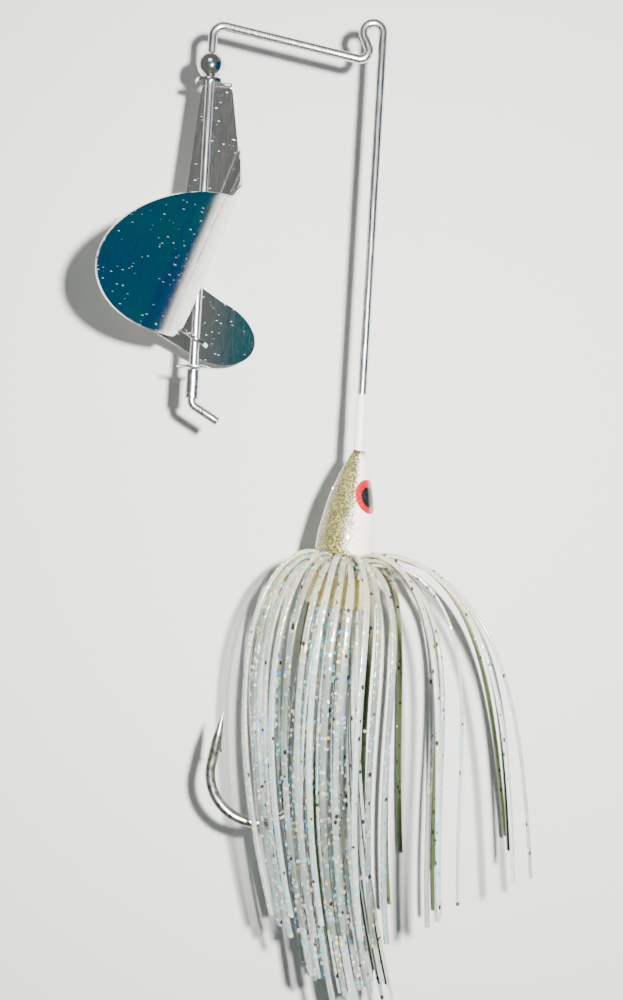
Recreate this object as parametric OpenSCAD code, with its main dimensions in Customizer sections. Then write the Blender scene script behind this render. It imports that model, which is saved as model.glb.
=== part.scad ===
// Wire bait: a bent wire frame carries a spinning two-wing blade on one side
// and a weighted, skirted hook on the other.
// Origin: centre of the line-tie curl. +Z up, +X from the shaft to the hook side.

/* [Wire frame] */
// Diameter of the spring wire
wire_d = 1.3; // [1.0:0.1:1.5]
// Radius of the line-tie curl, at the middle of the wire
tie_r = 1.42; // [1.3:0.02:1.8]
// Distance from the origin to the blade shaft
shaft_gap = 23.2; // [20:0.2:28]
// Height of the lower end of the straight shaft
shaft_bottom = -54.6; // [-66:0.2:-50]
// Length of the long arm, from the curl down to the nose of the head
arm_len = 60.8; // [50:0.2:74]
// Upward slope of the upper arm, in degrees
arm_slope = 10.5; // [6:0.5:16]
// Length of the bent end that stops the blade
tail_len = 3.85; // [2:0.05:6]

/* [Bead, blade and rivet] */
// Diameter of the bead
bead_d = 4.0; // [3.4:0.1:5]
// Height of the middle of the bead
bead_z = -6.07; // [-8:0.01:-5.5]
// Thickness of the blade sheet
sheet_t = 0.55; // [0.4:0.05:0.7]
// Radius of the wide bend between the panel and a wing
bend_r = 2.5; // [2.2:0.1:3]
// Length of the flat part of the front wing, from its bend to its tip
front_flat = 17.2; // [15:0.2:18.2]
// Length of the flat part of the rear wing, from its bend to its tip
rear_flat = 19.6; // [17:0.2:20.6]
// Angle of the front wing to the panel, in degrees
front_fold = 45; // [40:1:50]
// Angle of the rear wing to the panel, in degrees
rear_fold = 25; // [22:1:35]
// Running clearance of the bead, blade and rivet on the shaft, on the radius
run_gap = 0.06; // [0.03:0.01:0.1]
// Diameter of the rivet's flange
flange_d = 4.9; // [4:0.1:6]
// Diameter of the rivet's barrel
barrel_d = 2.1; // [1.9:0.1:2.6]
// Length of the rivet
rivet_len = 4.8; // [3:0.1:5.5]

/* [Head and hook] */
// Length of the head without its collar
head_len = 15; // [13:0.5:18]
// Largest diameter of the head
head_d = 8.3; // [7.4:0.1:10]
// Tilt of the head and hook from the long arm, in degrees
head_tilt = 5.5; // [3:0.5:9]
// Diameter of the painted iris
iris_d = 4.6; // [3.6:0.1:5]
// Diameter of the pupil
pupil_d = 2.9; // [2:0.1:3.2]
// Diameter of the hook wire
hook_d = 1.5; // [1.3:0.1:1.7]
// Length from the nose to the start of the hook's bend
shank_len = 48.3; // [42:0.5:56]
// Radius of the hook's bend, at the middle of the wire
gape_r = 7.1; // [6:0.1:8.4]

/* [Skirt] */
// Length of a strand's upper leg, which folds back over the band
front_leg_len = 60; // [50:1:75]
// Length of a strand's lower leg, which hangs round the hook
rear_leg_len = 55; // [45:1:70]
// Width of a strand
strand_w = 0.8; // [0.6:0.05:0.85]
// Thickness of a strand
strand_t = 0.45; // [0.35:0.05:0.5]
// Length of the rubber band
band_len = 4.4; // [3:0.1:6]
// Thickness of the rubber band
band_t = 0.8; // [0.5:0.1:1.2]

/* [Hidden] */
$fn = 48;

// Line-tie: the curl turns past the half circle, then a short leg and a tight bend meet the arm
curl_turn = 205;
leg_straight = 1.6;
tie_bend_r = 1.3;
top_bend_r = 1.6;
tail_bend_r = 1.2;
tail_turn = 60;
arm_heading = 180 - arm_slope;
leg_heading = 90 + curl_turn;
// Where the upper arm starts: after the curl, the leg and the tight bend
arm_start_x = tie_r * cos(curl_turn) + leg_straight * cos(leg_heading)
            + tie_bend_r * (sin(leg_heading) - sin(arm_heading));
arm_start_z = tie_r * sin(curl_turn) + leg_straight * sin(leg_heading)
            - tie_bend_r * (cos(leg_heading) - cos(arm_heading));
upper_arm = (-shaft_gap - arm_start_x + top_bend_r * (1 + sin(arm_heading))) / cos(arm_heading);
shaft_top = arm_start_z + upper_arm * sin(arm_heading) + top_bend_r * cos(arm_heading);
shaft_len = shaft_top - shaft_bottom;
tie_turn_back = leg_heading - arm_heading;

// The foot of the wire, cast in the head: it steps aside and turns through the hook's eye
nose_r = 0.9;
foot_in = 1.0;
foot_jog_turn = 25;
foot_jog_r = 3;
eye_bend_r = 1.2;
eye_r = 1.5;
cast_gap = 0.02;
foot_clear = 0.1;
foot_past_eye = 1.4;
foot_side = (wire_d + hook_d) / 2 + foot_clear;
jog_straight = (foot_side - 2 * foot_jog_r * (1 - cos(foot_jog_turn))) / sin(foot_jog_turn);
eye_depth = foot_in + 2 * foot_jog_r * sin(foot_jog_turn) + jog_straight * cos(foot_jog_turn)
          + eye_bend_r;
foot_cross = foot_side - eye_bend_r + foot_past_eye;

// Blade levels, all measured from the pieces that it runs between
blade_gap = 0.15;
ear_top = bead_z - bead_d / 2 - blade_gap;
flange_t = 0.4;
tail_gap = 0.15;
rivet_bottom = shaft_bottom + tail_gap;
rivet_top = rivet_bottom + rivet_len;
ear_stand_off = 3.9;
ear_low = rivet_top + ear_stand_off;
panel_gap = 0.35;
panel_y = wire_d / 2 + panel_gap + sheet_t / 2;
// Both bend lines slope the same way. The halves are from the shaft to each bend's outer side.
corner_drop = 14.9;
corner_z = ear_top - corner_drop;
bend_slope = 19;
right_half = 5.5;
left_half = 4.6;
tab_left = 1.2;
tab_right = 3.1;
tab_flare = 5.1;
bend_end = 22.5;
corner_dip = 0.3;
tab_rise = 0.2;
ear_hub_r = 2.1;
ear_arm = 4.4;
slot_gap = 0.3;
slot_r = wire_d / 2 + slot_gap;
slot_foot = 2.2;
slot_head = 1.8;
// The front lobe is a half oval that drops as it leaves its bend
lobe_mid = 13.2;
lobe_fall = 0.37;
lobe_h = 10.9;
shoulder = [-0.45, -2.4];
// The rear lobe is an oval joined to a narrower root
root_top = 10;
root_rise = 1.4;
root_end = 20;
oval_mid = 17;
oval_h = 4.7;
oval_w = 6.8;
// Joints between runs are this much fatter, so that one solid comes out
joint_swell = 0.02;
root_lap = 0.4;
wing_lap = 0.5;
low_ear_tilt = 30;

// Hook point: its whole length, its taper, how far the bend turns, and the barb's place
point_len = 7.6;
taper_len = 4.6;
hook_turn = 184.5;
barb_drop = 5.0;
barb_t = 0.4;
barb_outline = [[-0.2, 0.2], [-1.1, -0.5], [-0.2, 1.7]];

// Head and collar. A wider head needs a lower band, for the strands to clear its base.
collar_r = 1.8;
band_drop = 0.75 * head_d - 3.125;
band_top = head_len + band_drop;
collar_len = band_drop + band_len + 1;
ogive_r = (head_len * head_len + pow(head_d / 2 - nose_r, 2)) / (2 * (head_d / 2 - nose_r));
eye_station = 6.3;
iris_t = 0.3;
eye_sink = 0.75;
eye_azimuth = -40;

// Skirt: three rings of strands round the collar, with a gap left for the hook's point
ring_gap = 0.08;
collar_gap = 0.15;
ring_step = strand_t + ring_gap;
ring_r = [for (k = [0:2]) collar_r + collar_gap + strand_t / 2 + k * ring_step];
strand_count = 36;
slot_half = 26;
steps = 18;
// A leaving strand lies over within lie_len; its rear leg straightens within rear_len
lie_len = 1.2;
rear_len = 25;
// It lies over by lie_angle and comes to hang past the vertical by hang_angle, both in degrees
lie_angle = 31;
lie_rate = 1.05;
hang_angle = 4;
hang_rate = 0.3;
rear_open = 5;
rear_open_step = 2;
// Where a front leg leaves the band, for the outer ring and for each ring further in
leave_rise = 0.3;
leave_step = 0.5;
// How slowly a strand turns over, at least, for each ring further in, and at most on the open side
turn_len = 6.6;
turn_step = 0.6;
turn_open = 25;
open_share = 0.45;
golden = 0.618034;
// The whole skirt leans by lean_reach at lean_depth, from lean_start below the band
lean_reach = 9;
lean_start = 6;
lean_depth = 50;

// ---------- bent wire: straight runs and bends, one after another ----------
// Each step is [straight length, turn in degrees, bend radius, roll before the turn]
module wire_run(path, d, i = 0) {
    if (i < len(path)) {
        run = path[i][0];
        turn = path[i][1];
        radius = path[i][2];
        side = turn < 0 ? 1 : -1;
        a = abs(turn);
        cylinder(d = d, h = run);
        translate([0, 0, run]) rotate([0, 0, path[i][3]]) {
            if (i < len(path) - 1)
                sphere(d = d + joint_swell);
            if (a > 0)
                translate([side * radius, 0, 0]) rotate([90, 0, side > 0 ? 180 : 0])
                    rotate_extrude(angle = a) translate([radius, 0]) circle(d = d);
            translate([side * radius * (1 - cos(a)), 0, radius * sin(a)])
                rotate([0, side * a, 0]) {
                    if (a > 0)
                        sphere(d = d + joint_swell);
                    wire_run(path, d, i + 1);
                }
        }
    }
}

module head_frame() {
    translate([tie_r, 0, -arm_len]) rotate([0, head_tilt, 0]) children();
}

// The wire inside the head, also used grown as its cavity
module wire_foot(grow = 0) {
    head_frame() rotate([180, 0, 0])
        wire_run([[foot_in, foot_jog_turn, foot_jog_r, 90],
                  [jog_straight, -foot_jog_turn, foot_jog_r, 0],
                  [0, -90, eye_bend_r, 0],
                  [foot_cross + grow, 0, 1, 0]], wire_d + 2 * grow);
}

module wire_form() {
    color("silver") union() {
        translate([tie_r, 0, 0])
            wire_run([[0, curl_turn, tie_r, 0],
                      [leg_straight, -tie_turn_back, tie_bend_r, 0],
                      [upper_arm, 90 + arm_slope, top_bend_r, 0],
                      [shaft_len, tail_turn, tail_bend_r, 0],
                      [tail_len, 0, 1, 0]], wire_d);
        translate([tie_r, 0, -arm_len]) cylinder(d = wire_d, h = arm_len);
        translate([tie_r, 0, 0]) sphere(d = wire_d + joint_swell);
        translate([tie_r, 0, -arm_len]) sphere(d = wire_d + joint_swell);
        wire_foot();
    }
}

// ---------- hook ----------
module hook_body(grow = 0) {
    d = hook_d + 2 * grow;
    head_frame() {
        translate([0, 0, -eye_depth]) rotate([90, 0, 0])
            rotate_extrude() translate([eye_r, 0]) circle(d = d);
        translate([0, 0, -shank_len]) cylinder(d = d, h = shank_len - eye_depth - eye_r);
    }
}

module hook() {
    color("slategray") union() {
        hook_body();
        head_frame() translate([0, 0, -shank_len]) rotate([180, 0, 0]) hook_bend();
    }
}

module hook_bend() {
    translate([-gape_r, 0, 0]) rotate([90, 0, 0])
        rotate_extrude(angle = hook_turn) translate([gape_r, 0]) circle(d = hook_d);
    sphere(d = hook_d + joint_swell);
    translate([-gape_r * (1 - cos(hook_turn)), 0, gape_r * sin(hook_turn)])
        rotate([0, -hook_turn, 0]) {
            sphere(d = hook_d + joint_swell);
            cylinder(d = hook_d, h = point_len - taper_len);
            translate([0, 0, point_len - taper_len])
                cylinder(d1 = hook_d, d2 = 0.1, h = taper_len);
            translate([0, barb_t / 2, point_len - barb_drop]) rotate([90, 0, 0])
                linear_extrude(barb_t) polygon(barb_outline);
        }
}

// ---------- head ----------
function head_radius(s) = sqrt(ogive_r * ogive_r - pow(head_len - s, 2)) - (ogive_r - head_d / 2);

module head_outer() {
    round_r = 0.8;
    nose_steps = 16;
    body = [for (k = [0:nose_steps])
        let (s = (head_len - round_r) * k / nose_steps) [head_radius(s), -s]];
    edge = [for (a = [0:15:90]) [head_d / 2 - round_r + round_r * cos(a),
                                 -(head_len - round_r) - round_r * sin(a)]];
    rotate_extrude() polygon(concat([[0, 0]], body, edge, [[0, -head_len]]));
    translate([0, 0, -head_len - collar_len]) cylinder(r = collar_r, h = collar_len + 1);
}

module head() {
    color("ivory") difference() {
        head_frame() head_outer();
        wire_foot(cast_gap);
        translate([tie_r, 0, -arm_len]) sphere(d = wire_d + joint_swell + 2 * cast_gap);
        hook_body(cast_gap);
        eye_seat(1);
        eye_seat(-1);
    }
}

// ---------- eyes: a disc let into the side of the head, and a pupil let into it ----------
module on_eye(side) {
    head_frame() translate([0, 0, -eye_station])
        rotate([0, 0, eye_azimuth + (side < 0 ? 180 : 0)])
            translate([head_radius(eye_station) - eye_sink, 0, 0]) rotate([0, 90, 0]) children();
}

module eye_seat(side) {
    on_eye(side) cylinder(d = iris_d + 2 * cast_gap, h = 3);
}

module iris(side) {
    color("firebrick") on_eye(side) difference() {
        translate([0, 0, cast_gap]) cylinder(d = iris_d, h = iris_t);
        translate([0, 0, cast_gap + iris_t / 2]) cylinder(d = pupil_d + 2 * cast_gap, h = iris_t);
    }
}

module pupil(side) {
    color("black") on_eye(side)
        translate([0, 0, 2 * cast_gap + iris_t / 2]) cylinder(d = pupil_d, h = iris_t);
}

module left_iris() { iris(-1); }
module left_pupil() { pupil(-1); }
module right_iris() { iris(1); }
module right_pupil() { pupil(1); }

// ---------- what runs on the shaft ----------
module on_shaft() {
    translate([-shaft_gap, 0, 0]) children();
}

module shaft_bore(top, bottom) {
    translate([0, 0, bottom]) cylinder(d = wire_d + 2 * run_gap, h = top - bottom);
}

module bead() {
    color("gainsboro") on_shaft() difference() {
        translate([0, 0, bead_z]) sphere(d = bead_d);
        shaft_bore(bead_z + bead_d, bead_z - bead_d);
    }
}

module rivet() {
    color("lightgray") on_shaft() difference() {
        union() {
            translate([0, 0, rivet_bottom]) cylinder(d = barrel_d, h = rivet_len);
            translate([0, 0, rivet_top - flange_t]) cylinder(d = flange_d, h = flange_t);
        }
        shaft_bore(rivet_top + 1, rivet_bottom - 1);
    }
}

// How far a wing reaches from its bend, seen from the front
function wing_reach(fold, flat) = bend_r * (1 - sin(fold)) + flat * cos(fold);

// The rounded bend and the flat of a wing, along its bend line. Local X points out of the panel.
module wing_sheet(fold, flat) {
    turn = 180 - fold;
    above = 10;
    tall = 40;
    translate([-bend_r, -bend_r, above - tall]) {
        intersection() {
            difference() {
                cylinder(r = bend_r + sheet_t / 2, h = tall);
                translate([0, 0, -1]) cylinder(r = bend_r - sheet_t / 2, h = tall + 2);
            }
            linear_extrude(tall)
                polygon(concat([[0, 0]], [for (k = [0:6]) 9 * [cos(90 - turn * k / 6),
                                                               sin(90 - turn * k / 6)]]));
        }
        for (a = [90, 90 - turn])
            rotate([0, 0, a]) translate([bend_r, 0, 0]) cylinder(d = sheet_t + joint_swell, h = tall);
        rotate([0, 0, 90 - turn]) translate([bend_r - sheet_t / 2, -flat - 4, 0])
            cube([sheet_t, flat + 4, tall]);
    }
}

// Outlines seen from the front, as [out of the panel, up the bend line]
function front_lobe(reach) =
    concat([[1, 0], shoulder],
           [for (a = [-75:7.5:90]) [-reach * cos(a),
                                    -lobe_mid - lobe_fall * reach * cos(a) - lobe_h * sin(a)]],
           [[1, -bend_end]]);
function rear_lobe(reach) =
    concat([[1, -root_top], [0, -root_top]],
           [for (a = [-90:7.5:90]) [oval_w - reach - oval_w * cos(a), -oval_mid - oval_h * sin(a)]],
           [[0, -root_end], [1, -root_end]]);

// A wing trimmed to its outlines: one from the panel to the outer side of the bend, one beyond
module wing(fold, flat, root, lobe) {
    intersection() {
        wing_sheet(fold, flat);
        union() {
            translate([0, 1, 0]) rotate([90, 0, 0])
                linear_extrude(1 + bend_r + joint_swell) polygon(root);
            translate([0, -bend_r, 0]) rotate([90, 0, 0]) linear_extrude(30) polygon(lobe);
        }
    }
}

// The part of a bend next to the panel, between two heights on the bend line
function bend_root(inner, outer, end) =
    let (x = bend_r + root_lap)
    [[-x, inner], [wing_lap, outer], [wing_lap, -end], [-x, -end]];

module front_wing() {
    translate([right_half, panel_y, corner_z]) rotate([0, bend_slope, 0])
        wing(front_fold, front_flat, bend_root(tab_flare + tab_rise, -corner_dip, bend_end),
             front_lobe(wing_reach(front_fold, front_flat)));
}

module rear_wing() {
    translate([-left_half, panel_y, corner_z]) rotate([0, bend_slope, 0]) rotate([0, 0, 180])
        wing(rear_fold, rear_flat, bend_root(root_rise - root_top, -root_top, root_end),
             rear_lobe(wing_reach(rear_fold, rear_flat)));
}

// The flat strip between the two bends, with the tab of the upper ear above it
module panel() {
    lap = 0.3;
    side = bend_r / cos(bend_slope) - lap;
    left_start = 2;
    right_end = (bend_end - 0.5) * cos(bend_slope);
    left_end = root_end * cos(bend_slope);
    translate([0, panel_y + sheet_t / 2, 0]) rotate([90, 0, 0]) linear_extrude(sheet_t)
        polygon([[-tab_left, ear_top], [tab_right, ear_top],
                 [right_half - side + tab_flare * tan(bend_slope), corner_z + tab_flare],
                 [right_half - side - right_end * tan(bend_slope), corner_z - right_end],
                 [side - left_half - left_end * tan(bend_slope), corner_z - left_end],
                 [side - left_half - left_start * tan(bend_slope), corner_z - left_start]]);
}

module ear(z, tilt) {
    translate([0, 0, z]) rotate([0, tilt, 0]) {
        cylinder(r = ear_hub_r, h = sheet_t, center = true);
        children();
    }
}

module blade() {
    color("whitesmoke") on_shaft() difference() {
        union() {
            panel();
            front_wing();
            rear_wing();
            ear(ear_top - sheet_t / 2, 0)
                translate([-ear_hub_r, 0, -sheet_t / 2])
                    cube([2 * ear_hub_r, panel_y + sheet_t / 2, sheet_t]);
            ear(ear_low, low_ear_tilt)
                translate([-ear_arm, -panel_y, -sheet_t / 2])
                    cube([ear_arm, 2 * panel_y, sheet_t]);
        }
        translate([0, 0, ear_low + slot_foot])
            cylinder(r = slot_r, h = ear_top - slot_head - ear_low - slot_foot);
        shaft_bore(ear_top + 1, ear_low - 4);
    }
}

// ---------- skirt ----------
module skirt_band() {
    outer = ring_r[2] + strand_t / 2 + ring_gap + band_t;
    color("goldenrod") head_frame() translate([0, 0, -band_top - band_len]) difference() {
        cylinder(r = outer, h = band_len);
        translate([0, 0, -1]) cylinder(r = outer - band_t, h = band_len + 2);
    }
}

// A share between 0 and 1 that varies from strand to strand
function share(k) = k * golden - floor(k * golden);

// Each strand has an azimuth of its own. Its ring changes from one strand to the next.
function strand_phi(k) = -180 + slot_half + (360 - 2 * slot_half) * (k + 0.5) / strand_count;
function strand_ring(k) = k % 3;

// How slowly a strand turns over: widest towards +X, and wider from the inner rings
function spread(k) =
    let (open = pow(max(0, cos(strand_phi(k))), 2) * (3 - strand_ring(k)) / 3)
    turn_len + turn_step * (2 - strand_ring(k))
    + turn_open * open * (open_share + (1 - open_share) * share(k));

// Headings along a free leg, in degrees above level, at a distance s from the band
function front_heading(s, lam) =
    let (lie = lie_angle + lie_rate * lam, inward = hang_angle + hang_rate * lam)
    90 - lie * (1 - exp(-s / lie_len)) - (180 + inward - lie) * (1 - exp(-s / lam));
function rear_heading(s, ring) =
    -90 + (rear_open + rear_open_step * ring) * exp(-s / rear_len);

function front_leg(start, lam) =
    let (d = front_leg_len / steps)
    [for (i = 0, p = start; i <= steps; i = i + 1,
          h = front_heading((i - 0.5) * d, lam), p = p + d * [cos(h), sin(h)]) p];
function rear_leg(start, ring) =
    let (d = rear_leg_len / steps)
    [for (i = 0, p = start; i <= steps; i = i + 1,
          h = rear_heading((i - 0.5) * d, ring), p = p + d * [cos(h), sin(h)]) p];
function reversed(v) = [for (i = [len(v) - 1:-1:0]) v[i]];

// Sideways lean of the whole skirt, growing with depth below the band
function lean(z) = lean_reach * pow(max(0, -z - lean_start) / lean_depth, 2);

// From the rear tip, up through the band, and over to the front tip
function strand_line(k) =
    let (ring = strand_ring(k), r = ring_r[ring])
    concat(reversed(rear_leg([r, -band_len], ring)),
           front_leg([r, leave_rise + leave_step * (2 - ring)], spread(k)));

module strand(k) {
    phi = strand_phi(k);
    line = strand_line(k);
    n = len(line);
    side = [-sin(phi), cos(phi), 0] * strand_w / 2;
    rings = [for (i = [0:n - 1])
        let (a = line[max(0, i - 1)], b = line[min(n - 1, i + 1)],
             t = (b - a) / norm(b - a),
             c = [line[i][0] * cos(phi) + lean(line[i][1]), line[i][0] * sin(phi), line[i][1]],
             o = [-t[1] * cos(phi), -t[1] * sin(phi), t[0]] * strand_t / 2)
        [c - side - o, c + side - o, c + side + o, c - side + o]];
    points = [for (corners = rings) for (p = corners) p];
    walls = [for (i = [0:n - 2], j = [0:3])
        [4 * i + j, 4 * i + (j + 1) % 4, 4 * i + 4 + (j + 1) % 4, 4 * i + 4 + j]];
    polyhedron(points, concat(walls, [[3, 2, 1, 0]], [[for (j = [0:3]) 4 * (n - 1) + j]]));
}

module strands(first, last) {
    head_frame() translate([0, 0, -band_top]) for (k = [first:last]) strand(k);
}

module strands_left_front() { color("honeydew") strands(0, 3); }
module strands_front_left() { color("azure") strands(4, 7); }
module strands_front_right() { color("lightcyan") strands(8, 11); }
module strands_right_front() { color("white") strands(12, 14); }
module strands_right() { color("snow") strands(15, 18); }
module strands_right_back() { color("olivedrab") strands(19, 22); }
module strands_back_right() { color("darkolivegreen") strands(23, 26); }
module strands_back() { color("olivedrab") strands(27, 30); }
module strands_back_left() { color("honeydew") strands(31, 35); }

wire_form();
hook();
head();
left_iris();
left_pupil();
right_iris();
right_pupil();
bead();
blade();
rivet();
skirt_band();
strands_left_front();
strands_front_left();
strands_front_right();
strands_right_front();
strands_right();
strands_right_back();
strands_back_right();
strands_back();
strands_back_left();
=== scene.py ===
import math
import bpy
import bmesh
from mathutils import Matrix, Vector


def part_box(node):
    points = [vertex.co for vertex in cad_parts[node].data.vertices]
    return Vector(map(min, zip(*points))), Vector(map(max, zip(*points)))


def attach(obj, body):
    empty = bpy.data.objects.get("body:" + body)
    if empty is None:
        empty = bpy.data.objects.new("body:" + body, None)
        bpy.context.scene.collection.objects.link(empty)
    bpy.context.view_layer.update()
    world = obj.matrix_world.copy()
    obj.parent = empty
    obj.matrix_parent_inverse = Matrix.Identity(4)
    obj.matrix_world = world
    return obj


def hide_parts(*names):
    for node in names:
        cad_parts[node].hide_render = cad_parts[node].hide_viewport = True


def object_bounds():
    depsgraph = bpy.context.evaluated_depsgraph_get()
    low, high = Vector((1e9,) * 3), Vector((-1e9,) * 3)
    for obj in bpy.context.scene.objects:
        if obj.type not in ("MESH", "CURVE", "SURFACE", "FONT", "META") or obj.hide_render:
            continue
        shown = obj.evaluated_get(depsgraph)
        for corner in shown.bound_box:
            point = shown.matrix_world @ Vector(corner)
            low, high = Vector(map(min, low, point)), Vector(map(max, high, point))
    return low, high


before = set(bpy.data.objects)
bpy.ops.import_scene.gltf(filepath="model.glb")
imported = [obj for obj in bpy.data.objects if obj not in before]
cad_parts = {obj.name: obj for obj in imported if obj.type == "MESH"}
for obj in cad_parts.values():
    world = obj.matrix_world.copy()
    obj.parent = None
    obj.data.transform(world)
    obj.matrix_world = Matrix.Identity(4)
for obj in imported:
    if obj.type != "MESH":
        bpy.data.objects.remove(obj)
cad_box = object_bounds()
MM = 0.001

# ---------- sizes shared with the frame, in millimetres ----------
WIRE_D = 1.3
TIE_R = 1.42
CURL_TURN = 205
LEG_STRAIGHT = 1.6
TIE_BEND_R = 1.3
TOP_BEND_R = 1.6
TAIL_BEND_R = 1.2
TAIL_TURN = 60
TAIL_LEN = 3.85
ARM_SLOPE = 10.5
ARM_LEN = 60.8
SHAFT_BOTTOM = -54.6
HEAD_TILT = 5.5
HEAD_LEN = 15
HEAD_R = 4.15
NOSE_R = 0.9
COLLAR_R = 1.8
COLLAR_LEN = 8.5
HOOK_D = 1.5
SHANK_LEN = 48.3
GAPE_R = 7.1
HOOK_TURN = 184.5
POINT_LEN = 7.6
TAPER_LEN = 4.6
BARB_DROP = 5.0
RUN_GAP = 0.06
BARREL_R = 1.05
SHEET_T = 0.55
PANEL_GAP = 0.35
BEND_R = 2.5
FRONT_FLAT = 17.2
REAR_FLAT = 19.6
FRONT_FOLD = 45
REAR_FOLD = 25
BEND_SLOPE = 19
RIGHT_HALF = 5.5
LEFT_HALF = 4.6
TAB_LEFT = 1.2
TAB_RIGHT = 3.1
TAB_FLARE = 5.1
CORNER_DROP = 14.9
LEFT_START = 2
BEND_END = 22.5
ROOT_TOP = 10
ROOT_END = 20
LOBE_MID = 13.2
LOBE_FALL = 0.37
LOBE_H = 10.9
OVAL_MID = 17
OVAL_H = 4.7
OVAL_W = 6.8
SLOT_R = 0.95
SLOT_HEAD = 1.8
SLOT_FOOT = 2.2
EAR_STAND_OFF = 3.9
EAR_ARM = 4.4
EAR_HUB_R = 2.1
LOW_EAR_TILT = 30
STRAND_W = 0.8
STRAND_T = 0.45
STRAND_COUNT = 36
FRONT_LEG = 60.0
REAR_LEG = 55.0
SLOT_HALF = 26
RING_STEP = STRAND_T + 0.08
COLLAR_GAP = 0.15
BAND_TOP = HEAD_LEN + 3.1
BAND_LEN = 4.4
BAND_T = 0.8
IRIS_R = 2.3
PUPIL_R = 1.45
EYE_STATION = 6.3
EYE_AZIMUTH = -40

# ---------- how a strand turns over and hangs, in millimetres and degrees ----------
LIE_LEN = 1.2
LIE_ANGLE = 31
LIE_RATE = 1.05
HANG_ANGLE = 4
HANG_RATE = 0.3
REAR_OPEN = 5
REAR_OPEN_STEP = 2
REAR_LEN = 25
LEAVE_RISE = 0.3
LEAVE_STEP = 0.5
TURN_LEN = 6.6
TURN_STEP = 0.6
TURN_OPEN = 25
OPEN_SHARE = 0.45
LEAN_REACH = 9
LEAN_START = 6
LEAN_DEPTH = 50
LONGEST_TRIM = 3.2
GOLDEN = 0.618034


def middle(node):
    low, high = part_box(node)
    return (Vector(low) + Vector(high)) / 2 / MM


def top_of(node):
    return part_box(node)[1][2] / MM


SHAFT_X = middle("bead").x
BEAD_Z = middle("bead").z
BEAD_R = (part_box("bead")[1][0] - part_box("bead")[0][0]) / 2 / MM
EAR_TOP = top_of("blade")
RIVET_TOP = top_of("rivet")
EAR_LOW = RIVET_TOP + EAR_STAND_OFF
PANEL_Y = WIRE_D / 2 + PANEL_GAP + SHEET_T / 2
CORNER_Z = EAR_TOP - CORNER_DROP
NOSE = Matrix.Translation((TIE_R, 0, -ARM_LEN))
HEAD_FRAME = NOSE @ Matrix.Rotation(math.radians(HEAD_TILT), 4, "Y")


def cosd(a):
    return math.cos(math.radians(a))


def sind(a):
    return math.sin(math.radians(a))


def smooth(a, b, x):
    t = min(1, max(0, (x - a) / (b - a)))
    return t * t * (3 - 2 * t)


def held(name, data):
    holder = bpy.data.objects.new(name, data)
    bpy.context.collection.objects.link(holder)
    return holder


# ---------- camera ----------
def make_camera():
    camera = held("camera", bpy.data.cameras.new("camera"))
    distance = 201 * MM
    seen_height = 145 * MM
    aim = Vector((-5.0, 0, -68.1)) * MM
    roll = math.radians(3.35)
    right = Vector((math.cos(roll), 0, math.sin(roll)))
    up = Vector((-math.sin(roll), 0, math.cos(roll)))
    back = Vector((0, -1, 0))
    turn = Matrix((right, up, back)).transposed().to_4x4()
    camera.matrix_world = Matrix.Translation(aim + back * distance) @ turn
    camera.data.lens = camera.data.sensor_width * distance / seen_height
    camera.data.clip_start = 0.005
    bpy.context.scene.camera = camera


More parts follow.
